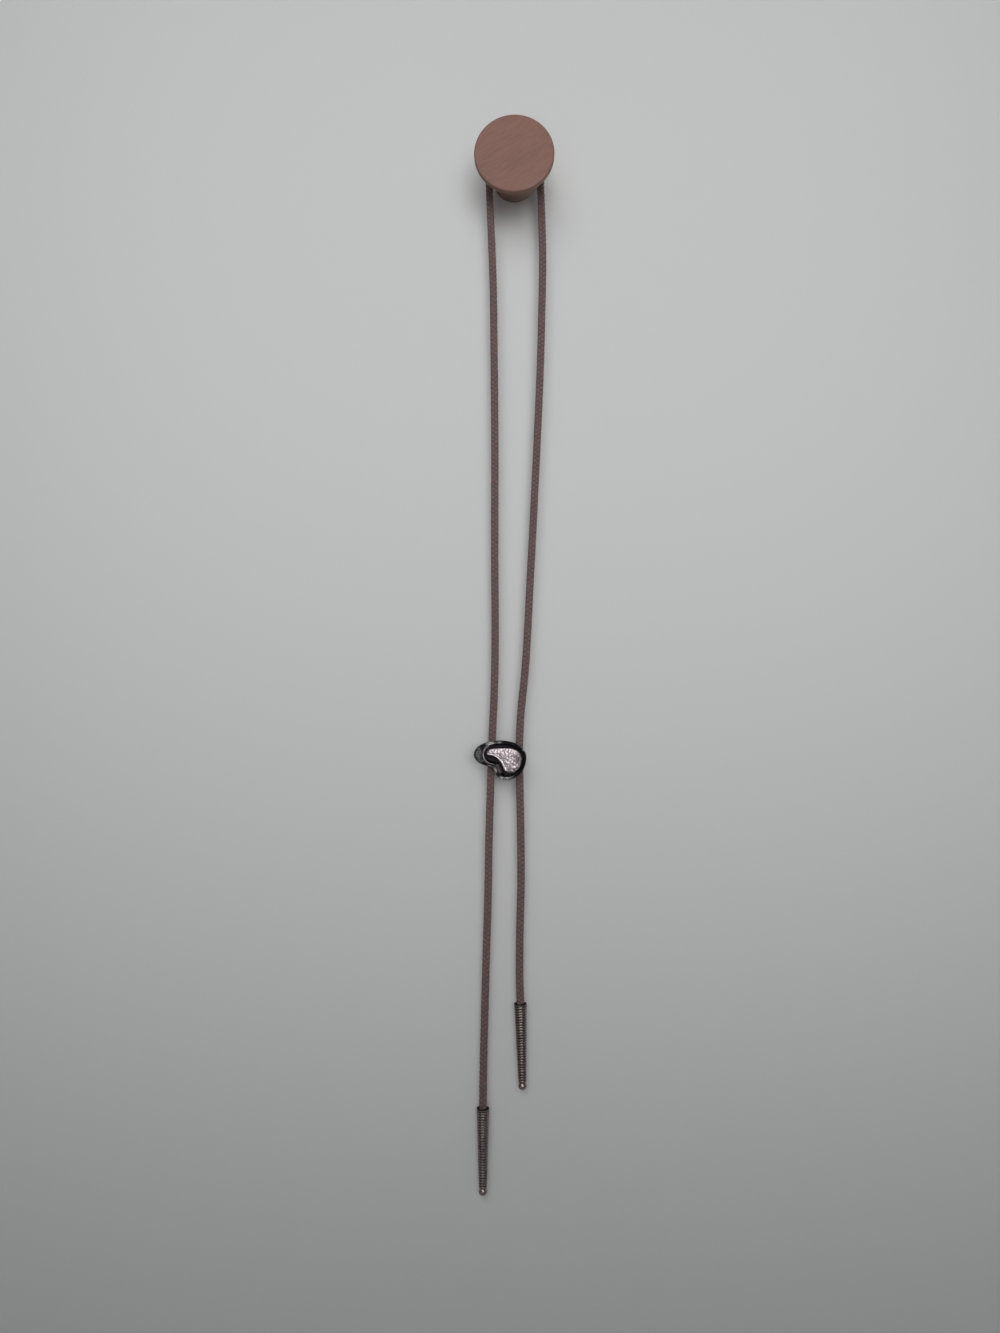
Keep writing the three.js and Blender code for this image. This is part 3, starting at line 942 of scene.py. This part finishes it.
class BOLO_OT_cord(bpy.types.Operator):
    """Braids the cord from four strands round a thin core"""

    bl_idname = "bolo.cord"
    bl_label = "Braided Cord"

    def execute(self, context):
        settings = context.scene.bolo_tie.cord
        turn_length = 2 * settings.stitch
        line = cord_line(turn_length / BRAID_SAMPLES)
        parts = [self.strand(line, settings, way, start) for way in (1, -1) for start in (0, math.pi)]
        parts.append(self.core(line))
        places, faces, laps = [], [], []
        total = 0
        for number, (part_places, part_faces, part_laps) in enumerate(parts):
            places.append(part_places)
            faces.extend(tuple(corner + total for corner in face) for face in part_faces)
            laps.append(part_laps + [number * LACE_SHIFT, 0])
            total += len(part_places)
        places = np.concatenate(places)
        mesh = bpy.data.meshes.new("cord")
        mesh.from_pydata(places.tolist(), [], faces)
        mesh.update()
        piece = bpy.data.objects.new("braided_cord", mesh)
        context.scene.collection.objects.link(piece)
        self.lay_lace(piece, np.concatenate(laps))
        # The height over the core steers the painted shade between the stitches.
        store_values(piece, "crown", self.height_over(places, line[0], settings))
        face_outwards(piece)
        bpy.ops.object.shade_smooth()
        hand_over(piece, "braided_cord", braided_leather(settings), "braided_leather", "cord")
        return {"FINISHED"}

    def strand(self, line, settings, way, start):
        """One strand: it winds round the cord and swings out over one crossing and in under the next."""
        middle, along, front, side = line
        turned = math.pi * along / settings.stitch
        angle = (way * turned + start + BRAID_PHASE)[:, None]
        radial = np.cos(angle) * front + np.sin(angle) * side
        radius = BRAID_MIDDLE + way * BRAID_SWING * np.cos(2 * turned)
        own = middle + radius[:, None] * radial
        forward = unit(np.gradient(own, axis=0))
        across = unit(np.cross(forward, radial))
        outward = np.cross(across, forward)
        wide, thick = settings.strand_width / 2, settings.strand_thickness / 2
        section = [(a * wide, b * thick) for a, b in STRAND_SECTION]
        places, faces = swept_tube(own, across, outward, section)
        lap = np.cumsum(np.linalg.norm(np.gradient(own, axis=0), axis=1))
        laps = np.stack([np.repeat(lap, len(section)),
                         np.tile([a * wide + b * thick for a, b in STRAND_SECTION], len(lap))], axis=1)
        return places, faces, laps

    def core(self, line):
        """The thin core that the strands close round."""
        middle, along, front, side = (values[::CORE_SPACING] for values in line)
        turns = [math.tau * i / CORE_SIDES for i in range(CORE_SIDES)]
        section = [(CORE_RADIUS * math.cos(t), CORE_RADIUS * math.sin(t)) for t in turns]
        places, faces = swept_tube(middle, front, side, section)
        laps = np.stack([np.repeat(along, CORE_SIDES), np.tile([b for _, b in section], len(along))], axis=1)
        return places, faces, laps

    def lay_lace(self, piece, laps):
        """A UV map in metres: along each strand and across it."""
        layer = piece.data.uv_layers.new(name="strand")
        corners = np.zeros(len(piece.data.loops), np.int32)
        piece.data.loops.foreach_get("vertex_index", corners)
        layer.data.foreach_set("uv", laps[corners].astype(np.float32).ravel())

    def height_over(self, places, middle, settings):
        """How far out each place is, 0 at the core and 1 at the surface."""
        rings = [np.repeat(middle, len(STRAND_SECTION), axis=0)] * STRANDS
        rings.append(np.repeat(middle[::CORE_SPACING], CORE_SIDES, axis=0))
        centres = np.concatenate(rings)
        if len(centres) != len(places):
            raise ValueError("the cord's vertices and its centreline don't match")
        out = np.linalg.norm(places - centres, axis=1)
        return (out - CORE_RADIUS) / (settings.diameter / 2 - CORE_RADIUS)


# ---- the tips ----


def tip_line(node):
    """The middle of a tip's mouth and the lowest point of its ball."""
    places = {vert.co.to_tuple(7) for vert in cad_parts[node].data.vertices}
    places = [Vector(place) for place in places]
    foot = min(places, key=lambda place: place.z)
    reach = max((place - foot).length for place in places)
    ring = [place for place in places if (place - foot).length > MOUTH_SHARE * reach]
    return sum(ring, Vector()) / len(ring), foot


class BOLO_OT_tips(bpy.types.Operator):
    bl_idname = "bolo.tips"
    bl_label = "Ringed Tips"

    def execute(self, context):
        settings = context.scene.bolo_tie.tips
        material = tip_silver(settings)
        mouth, foot = tip_line("tip_left")
        profile = self.profile(settings, (mouth - foot).length)
        first = turned_body(profile, TIP_SIDES)
        self.mark_rubbing_and_painted_light(first, settings, (mouth - foot).length)
        select_only(first)
        bpy.ops.object.shade_smooth_by_angle(angle=TIP_CREASE)
        second = first.copy()
        second.data = first.data.copy()
        context.scene.collection.objects.link(second)
        tips = []
        for piece, node in ((first, "tip_left"), (second, "tip_right")):
            mouth, foot = tip_line(node)
            turn = (mouth - foot).to_track_quat("Z", "Y").to_matrix().to_4x4()
            settle(piece, Matrix.Translation(mouth) @ turn)
            tips.append(hand_over(piece, "ringed_" + node, material, "tip_silver", node))
        self.declare_cord(context, tips, tip_line("tip_left")[0])
        return {"FINISHED"}

    def profile(self, settings, length):
        """Rows of radius and height: the socket, the lip, every ring and the ball."""
        ball = length - settings.ball_radius
        taper = length - 2 * settings.ball_radius + BALL_OVERLAP
        pitch = taper / settings.rings
        socket = settings.socket_radius
        rows = [(0, -settings.socket_depth), (socket, -settings.socket_depth), (socket, -TIP_LIP),
                (socket + TIP_LIP, 0), (settings.mouth_radius - 2.2 * TIP_LIP, 0)]
        for ring in range(settings.rings):
            for share, depth in RING_SHAPE:
                at = (ring + share) / settings.rings
                crest = settings.mouth_radius + at * (settings.end_radius - settings.mouth_radius)
                rows.append((crest - depth * settings.groove, -pitch * (ring + share)))
        first = math.asin((ball - taper) / settings.ball_radius)
        for step in range(1, BALL_STEPS + 1):
            angle = first - (first + math.pi / 2) * step / BALL_STEPS
            rows.append((settings.ball_radius * math.cos(angle),
                         -ball + settings.ball_radius * math.sin(angle)))
        rows[-1] = (0, rows[-1][1])
        return rows

    def mark_rubbing_and_painted_light(self, piece, settings, length):
        """Keeps where the grooves are, for their black patina, where the socket and the mouth's lip are,
        painted black as painted shade, and where the ball is polished; the crests left bare are partly a
        painted highlight.
        """
        places = mesh_places(piece)
        out = np.hypot(places[:, 0], places[:, 1])
        down = -places[:, 2]
        taper = length - 2 * settings.ball_radius + BALL_OVERLAP
        at = np.clip(down / taper, 0, 1)
        crest = settings.mouth_radius + at * (settings.end_radius - settings.mouth_radius)
        depth = (crest - out) / settings.groove
        polished = ramp(down, taper, taper + TIP_FADE)
        # Painted shade: the socket's inside and the mouth's lip are painted black.
        inside = out < settings.socket_radius + TIP_FADE
        inside &= down < settings.socket_depth + SOCKET_FLOOR_MARGIN
        inside |= down < TIP_FADE
        # Black patina in the grooves, set deep enough that only the crests stay bright, partly a painted
        # highlight.
        hollow = np.where(inside, 1.0, np.clip(depth * 1.2, 0, 1)) * (1 - polished)
        store_values(piece, "hollow", hollow)
        store_values(piece, "worn", BALL_WEAR * polished + CREST_RUB_AND_HIGHLIGHT * (1 - hollow))

    def declare_cord(self, context, tips, exit_place):
        """Does nothing: the cord's length and the tips on its ends are not recorded."""


# ---- the slide ----


def slide_place():
    """Stands the slide, drawn flat with its front up, against its place on the cord."""
    low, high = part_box("slide_dish")
    return Matrix.Translation(((low.x + high.x) / 2, high.y, (low.z + high.z) / 2)) @ STAND_UP


def raised_ring(outline, height):
    """An outline in millimetres as places in metres at a height."""
    return [(across * MM, up * MM, height * MM) for across, up in outline]


def inset_outline(outline, inset):
    """An outline moved inwards all round."""
    ahead = np.roll(outline, -1, axis=0) - np.roll(outline, 1, axis=0)
    ahead = unit(ahead)
    inward = np.stack([ahead[:, 1], -ahead[:, 0]], axis=1)
    return outline + inset * inward


def nearness(places, across, up, reach):
    """1 at a place on the slide, falling to 0 a reach away; across, up and reach in millimetres."""
    far = np.hypot(places[:, 0] / MM - across, places[:, 1] / MM - up)
    share = np.clip(1 - far / reach, 0, 1)
    return share * share * (3 - 2 * share)


def outline_distance(places, outline):
    """How far each place is from an outline, and the number of its nearest point, in millimetres."""
    flat = places[:, :2] / MM
    far = np.full(len(flat), np.inf)
    nearest = np.zeros(len(flat), int)
    for number, point in enumerate(outline):
        away = np.hypot(flat[:, 0] - point[0], flat[:, 1] - point[1])
        closer = away < far
        far[closer] = away[closer]
        nearest[closer] = number
    return far, nearest


def displace(piece, name, kind, size, depth, group=""):
    """Presses a texture into the piece."""
    texture = bpy.data.textures.new(name, kind)
    texture.noise_scale = size
    apply_modifier(piece, name, "DISPLACE", texture=texture, texture_coords="LOCAL", strength=depth,
                   mid_level=0.5, vertex_group=group)


def weight_group(piece, name, weights):
    """A vertex group with a weight for each vertex."""
    group = piece.vertex_groups.new(name=name)
    for number in np.nonzero(weights > LEAST_WEIGHT)[0].tolist():
        group.add([number], float(weights[number]), "REPLACE")


class BOLO_OT_slide_dish(bpy.types.Operator):
    """Models the blackened dish with its rim, rolled end and bowl, and the bright wires on its rim"""

    bl_idname = "bolo.slide_dish"
    bl_label = "Slide Dish"

    def execute(self, context):
        settings = context.scene.bolo_tie.slide
        dish = self.dish(settings)
        hand_over(dish, "slide_dish_cast", oxidised_silver(settings), "oxidised_silver", "slide_dish")
        wire = self.rim_wires(context, settings)
        hand_over(wire, "slide_rim_wires", bright_silver(settings), "bright_silver")
        return {"FINISHED"}

    def dish(self, settings):
        """The dish: ring after ring from its back, over the rim and down to the bowl's floor."""
        outside = closed_curve(DISH_OUTLINE, OUTLINE_STEPS)
        bowl = closed_curve(BOWL_OUTLINE, OUTLINE_STEPS)
        floor = closed_curve(FLOOR_OUTLINE, OUTLINE_STEPS)
        rings = [raised_ring(outside + share * (bowl - outside), height) for share, height in RIM_PROFILE]
        rings += [raised_ring(bowl + share * (floor - bowl), height) for share, height in BOWL_PROFILE]
        piece = ring_body(rings)
        self.raise_rolled_end(piece)
        apply_modifier(piece, "smooth", "SUBSURF", levels=DISH_SMOOTHING, render_levels=DISH_SMOOTHING)
        places = mesh_places(piece)
        outer = ramp(outline_distance(places, bowl)[0], *CAST_MARGIN)
        textured = nearness(places, *CAST_ON_ROLL) ** 0.5 + CAST_BELOW_SHARE * nearness(places, *CAST_BELOW)
        front = ramp(places[:, 2] / MM, *CAST_RISE)
        weight_group(piece, "cast", np.clip(front * outer * textured, 0, 1))
        displace(piece, "cast", "CLOUDS", CAST_GRAIN, settings.cast_depth, "cast")
        self.mark_rubbing_and_painted_light(piece)
        bpy.ops.object.shade_smooth()
        settle(piece, slide_place())
        return piece

    def raise_rolled_end(self, piece):
        """Swells the rim's left end into a roll."""
        places = mesh_places(piece)
        roll = ROLLED_END
        across = (places[:, 0] / MM - roll["across"]) / roll["wide"]
        up = (places[:, 1] / MM - roll["up"]) / roll["tall"]
        inside = np.clip(1 - across ** 2 - up ** 2, 0, 1)
        top = (roll["middle"] + roll["rise"] * np.sqrt(inside)) * MM
        swollen = (inside > 0) & (places[:, 2] > ROLL_FROM)
        places[swollen, 2] = np.maximum(places[swollen, 2], top[swollen])
        set_places(piece, places)

    def mark_rubbing_and_painted_light(self, piece):
        """Keeps where the metal is black, with painted shade down in the bowl, and where it is paler: rubbed
        and partly a painted highlight on the rim, painted light on the bowl's slope.
        """
        places = mesh_places(piece)
        height = places[:, 2] / MM
        # Rubbed bright rim, partly a painted highlight where the rim faces the light.
        rim = self.marks_near(places, RUBBED_AND_LIT_RIM) * ramp(height, *RIM_RISE)
        # Painted light: the bowl's slope is painted paler where it faces the light above.
        slope = self.marks_near(places, PAINTED_LIGHT_ON_SLOPE) * ramp(height, *SLOPE_RISE) * ramp(height, *SLOPE_END)
        # Painted shade: the bowl turns blacker the deeper it goes.
        deep = BOWL_SHADE * ramp(height, *BOWL_DEPTH)
        store_values(piece, "hollow", deep * (1 - np.clip(2 * slope, 0, 1)))
        store_values(piece, "worn", np.maximum(rim, slope))

    def marks_near(self, places, rows):
        """How strongly the rows mark each place, from rows of across, up, reach and strength."""
        return sum(strength * nearness(places, across, up, reach) for across, up, reach, strength in rows)

    def rim_wires(self, context, settings):
        """The thin wires laid on the rim, tapering to their ends."""
        pieces = []
        for number, rows in enumerate(RIM_WIRES):
            data = bpy.data.curves.new(f"rim_wire_{number}", "CURVE")
            data.dimensions = "3D"
            data.bevel_depth = settings.wire_radius
            data.bevel_resolution = WIRE_ROUNDNESS
            data.use_fill_caps = True
            line = open_curve(rows, WIRE_STEPS)
            spline = data.splines.new("POLY")
            spline.points.add(len(line) - 1)
            for point, (across, up, height, share) in zip(spline.points, line):
                point.co = (across * MM, up * MM, height * MM, 1)
                point.radius = share
            wire = bpy.data.objects.new(data.name, data)
            context.scene.collection.objects.link(wire)
            pieces.append(wire)
        start_clean()
        for wire in pieces:
            wire.select_set(True)
        bpy.context.view_layer.objects.active = pieces[0]
        bpy.ops.object.convert(target="MESH")
        bpy.ops.object.join()
        piece = bpy.context.object
        face_outwards(piece)
        bpy.ops.object.shade_smooth()
        store_values(piece, "hollow", np.full(len(piece.data.vertices), WIRE_DULLNESS))
        store_values(piece, "worn", np.zeros(len(piece.data.vertices)))
        settle(piece, slide_place())
        return piece


class BOLO_OT_slide_inlay(bpy.types.Operator):
    """Models the bright comma-shaped inlay with its hammer marks and polished inner edge"""

    bl_idname = "bolo.slide_inlay"
    bl_label = "Slide Inlay"

    def execute(self, context):
        settings = context.scene.bolo_tie.slide
        outline = closed_curve(INLAY_OUTLINE, OUTLINE_STEPS)
        piece = ring_body([raised_ring(inset_outline(outline, inset), height)
                           for inset, height in INLAY_PROFILE])
        apply_modifier(piece, "even", "REMESH", mode="VOXEL", voxel_size=INLAY_MESH_SIZE)
        apply_modifier(piece, "soften", "SMOOTH", factor=0.5, iterations=INLAY_SOFTENING)
        self.crown(piece, outline)
        self.hammer(piece, outline, settings)
        bpy.ops.object.shade_smooth()
        settle(piece, slide_place())
        hand_over(piece, "slide_inlay_bright", bright_silver(settings), "bright_silver", "slide_inlay")
        return {"FINISHED"}

    def front_share(self, places):
        """1 on the inlay's front and 0 on its back and foot."""
        return ramp(places[:, 2] / MM, *INLAY_FRONT)

    def inner_edge(self, nearest):
        """Whether a place's nearest outline point is on the hollow, inner side."""
        first, last = (span * OUTLINE_STEPS for span in INNER_SPANS)
        return (nearest >= first) & (nearest <= last)

    def crown(self, piece, outline):
        """Domes the front a little and leaves a smooth raised lip along the inner edge."""
        places = mesh_places(piece)
        away, nearest = outline_distance(places, outline)
        dome = INLAY_DOME["rise"] * (1 - np.exp(-away / INLAY_DOME["run"])) - INLAY_DOME["sunk"]
        from_lip = (away - INLAY_LIP["from_edge"]) / INLAY_LIP["half_width"]
        lip = INLAY_LIP["rise"] * np.exp(-(from_lip ** 2)) * self.inner_edge(nearest)
        places[:, 2] += (dome + lip) * MM * self.front_share(places)
        set_places(piece, places)

    def hammer(self, piece, outline, settings):
        """Presses the hammer marks in, everywhere but the polished lip."""
        places = mesh_places(piece)
        away, nearest = outline_distance(places, outline)
        lip = self.inner_edge(nearest) & (away < INLAY_LIP["polished"])
        weights = self.front_share(places) * np.where(lip, 0.0, ramp(away, *HAMMER_MARGIN))
        weight_group(piece, "face", weights)
        marks = (("hammer_marks", "VORONOI", HAMMER_MARKS), ("ripple", "CLOUDS", RIPPLE))
        for name, kind, (grain, share) in marks:
            displace(piece, name, kind, grain, share * settings.hammer_depth, "face")
        # Painted shade on the front's right side and down the foot, where it stands in the bowl.
        across, up, reach, strength = INLAY_SHADE_PLACE
        right_side_shade = strength * nearness(places, across, up, reach)
        store_values(piece, "hollow", right_side_shade + FOOT_SHADE * ramp(places[:, 2] / MM, *INLAY_FOOT))
        store_values(piece, "worn", LIP_WEAR * lip)


class BOLO_OT_slide_clip(bpy.types.Operator):
    """Models the clip behind the slide: a plate with a sleeve round each leg of the cord"""

    bl_idname = "bolo.slide_clip"
    bl_label = "Slide Clip"

    def execute(self, context):
        settings = context.scene.bolo_tie.slide
        low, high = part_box("slide_clip")
        tall = high.z - low.z
        middle = (low.z + high.z) / 2
        depth = high.y - SLEEVE_RADIUS
        sleeves = []
        for across in (low.x + SLEEVE_RADIUS, high.x - SLEEVE_RADIUS):
            sleeve = self.sleeve(SLEEVE_RADIUS, SLEEVE_BORE, CLIP_EDGE, tall / 2)
            settle(sleeve, Matrix.Translation((across, depth, middle)))
            sleeves.append(sleeve)
        plate_front, plate_back = low.y, depth - SLEEVE_BORE - CLIP_OVERLAP
        start_clean()
        bpy.ops.mesh.primitive_cube_add(
            size=1, location=((low.x + high.x) / 2, (plate_front + plate_back) / 2, middle))
        plate = bpy.context.object
        plate.scale = (high.x - low.x - 2 * SLEEVE_RADIUS, plate_back - plate_front, tall)
        settle(plate)
        bpy.ops.object.mode_set(mode="EDIT")
        bpy.ops.mesh.select_all(action="SELECT")
        bpy.ops.mesh.bevel(offset=CLIP_EDGE, segments=3, affect="EDGES")
        bpy.ops.object.mode_set(mode="OBJECT")
        for sleeve in sleeves:
            apply_modifier(plate, "join", "BOOLEAN", operation="UNION", object=sleeve, solver="EXACT")
            bpy.data.objects.remove(sleeve)
        face_outwards(plate)
        bpy.ops.object.shade_smooth_by_angle(angle=CLIP_CREASE)
        hand_over(plate, "slide_clip_metal", clip_metal(settings), "clip_metal", "slide_clip")
        return {"FINISHED"}

    def sleeve(self, outer, bore, edge, half):
        """One short sleeve with its edges cut slantwise."""
        rows = [(bore, -half + edge), (bore + edge, -half), (outer - edge, -half), (outer, -half + edge),
                (outer, half - edge), (outer - edge, half), (bore + edge, half), (bore, half - edge),
                (bore, -half + edge)]
        return turned_body(rows, SLEEVE_SIDES)


# ---- the knob ----


class BOLO_OT_knob(bpy.types.Operator):
    """Turns the wooden knob: neck, flare, rim and flat round face"""

    bl_idname = "bolo.knob"
    bl_label = "Wooden Knob"

    def execute(self, context):
        settings = context.scene.bolo_tie.knob
        low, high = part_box("wall_knob")
        depth, face_radius = high.y - low.y, (high.x - low.x) / 2
        piece = turned_body(self.profile(settings, depth, face_radius), KNOB_SIDES)
        self.mark_handling_and_shade(piece, settings, depth, face_radius)
        settle(piece, STAND_UP)
        bpy.ops.object.shade_smooth_by_angle(angle=KNOB_CREASE)
        hand_over(piece, "wooden_wall_knob", knob_wood(settings), "knob_wood", "wall_knob")
        return {"FINISHED"}

    def mark_handling_and_shade(self, piece, settings, depth, face_radius):
        """Keeps where the wood is darker: on the rounded edge, handled and partly painted shade, and down
        the neck, painted shade.
        """
        places = mesh_places(piece)
        out = np.hypot(places[:, 0], places[:, 1])
        rim = depth - settings.rim_thickness
        edge = EDGE_STRENGTH * ramp(out, *(face_radius - inward for inward in EDGE_FADE))
        neck = NECK_SHADE_STRENGTH * ramp(places[:, 2], rim, rim - NECK_SHADE_FADE)
        store_values(piece, "edge", np.maximum(edge, neck))

    def profile(self, settings, depth, face_radius):
        """Rows of radius and height above the wall."""
        edge, back = KNOB_EDGE, KNOB_BACK_EDGE
        neck, length = settings.neck_radius, settings.neck_length
        rim = depth - settings.rim_thickness
        rows = [(0, 0), (neck - back, 0), (neck, back), (neck, length / 2), (neck, length)]
        start = np.array([neck, length])
        bend = start + FLARE_BEND
        end = np.array([face_radius - FLARE_END, rim])
        for t in np.linspace(0, 1, FLARE_STEPS + 1)[1:]:
            rows.append(tuple((1 - t) ** 2 * start + 2 * t * (1 - t) * bend + t ** 2 * end))
        rows.append((face_radius, rim + FLARE_END))
        rows.append((face_radius, depth - edge))
        for angle in np.linspace(0, math.pi / 2, KNOB_EDGE_STEPS + 1)[1:]:
            rows.append((face_radius - edge + edge * math.cos(angle),
                         depth - edge + edge * math.sin(angle)))
        rows.append((face_radius * FACE_INNER_SHARE, depth))
        rows.append((0, depth))
        return rows


# ---- the panel, and putting it all together ----


class BOLO_PT_panel(bpy.types.Panel):
    """Lists the pieces of the bolo tie"""

    bl_idname = "BOLO_PT_panel"
    bl_label = "Bolo Tie"
    bl_space_type = "VIEW_3D"
    bl_region_type = "UI"
    bl_category = "Bolo Tie"

    def draw(self, context):
        layout = self.layout
        for operator in OPERATORS:
            layout.operator(operator.bl_idname)
        for group in ("cord", "tips", "slide", "knob", "stage"):
            settings = getattr(context.scene.bolo_tie, group)
            box = layout.box()
            box.label(text=group.capitalize())
            for name in type(settings).__annotations__:
                box.prop(settings, name)


OPERATORS = (
    BOLO_OT_stage,
    BOLO_OT_cord,
    BOLO_OT_tips,
    BOLO_OT_slide_dish,
    BOLO_OT_slide_inlay,
    BOLO_OT_slide_clip,
    BOLO_OT_knob,
)
CLASSES = (
    BoloCordSettings,
    BoloTipSettings,
    BoloSlideSettings,
    BoloKnobSettings,
    BoloStageSettings,
    BoloTieSettings,
    *OPERATORS,
    BOLO_PT_panel,
)


def register():
    for cls in CLASSES:
        bpy.utils.register_class(cls)
    bpy.types.Scene.bolo_tie = bpy.props.PointerProperty(type=BoloTieSettings)


def unregister():
    del bpy.types.Scene.bolo_tie
    for cls in reversed(CLASSES):
        bpy.utils.unregister_class(cls)


def main():
    """Builds every piece in order."""
    register()
    bpy.ops.bolo.stage()
    bpy.ops.bolo.cord()
    bpy.ops.bolo.tips()
    bpy.ops.bolo.slide_dish()
    bpy.ops.bolo.slide_inlay()
    bpy.ops.bolo.slide_clip()
    bpy.ops.bolo.knob()
    start_clean()


if __name__ == "__main__":
    main()
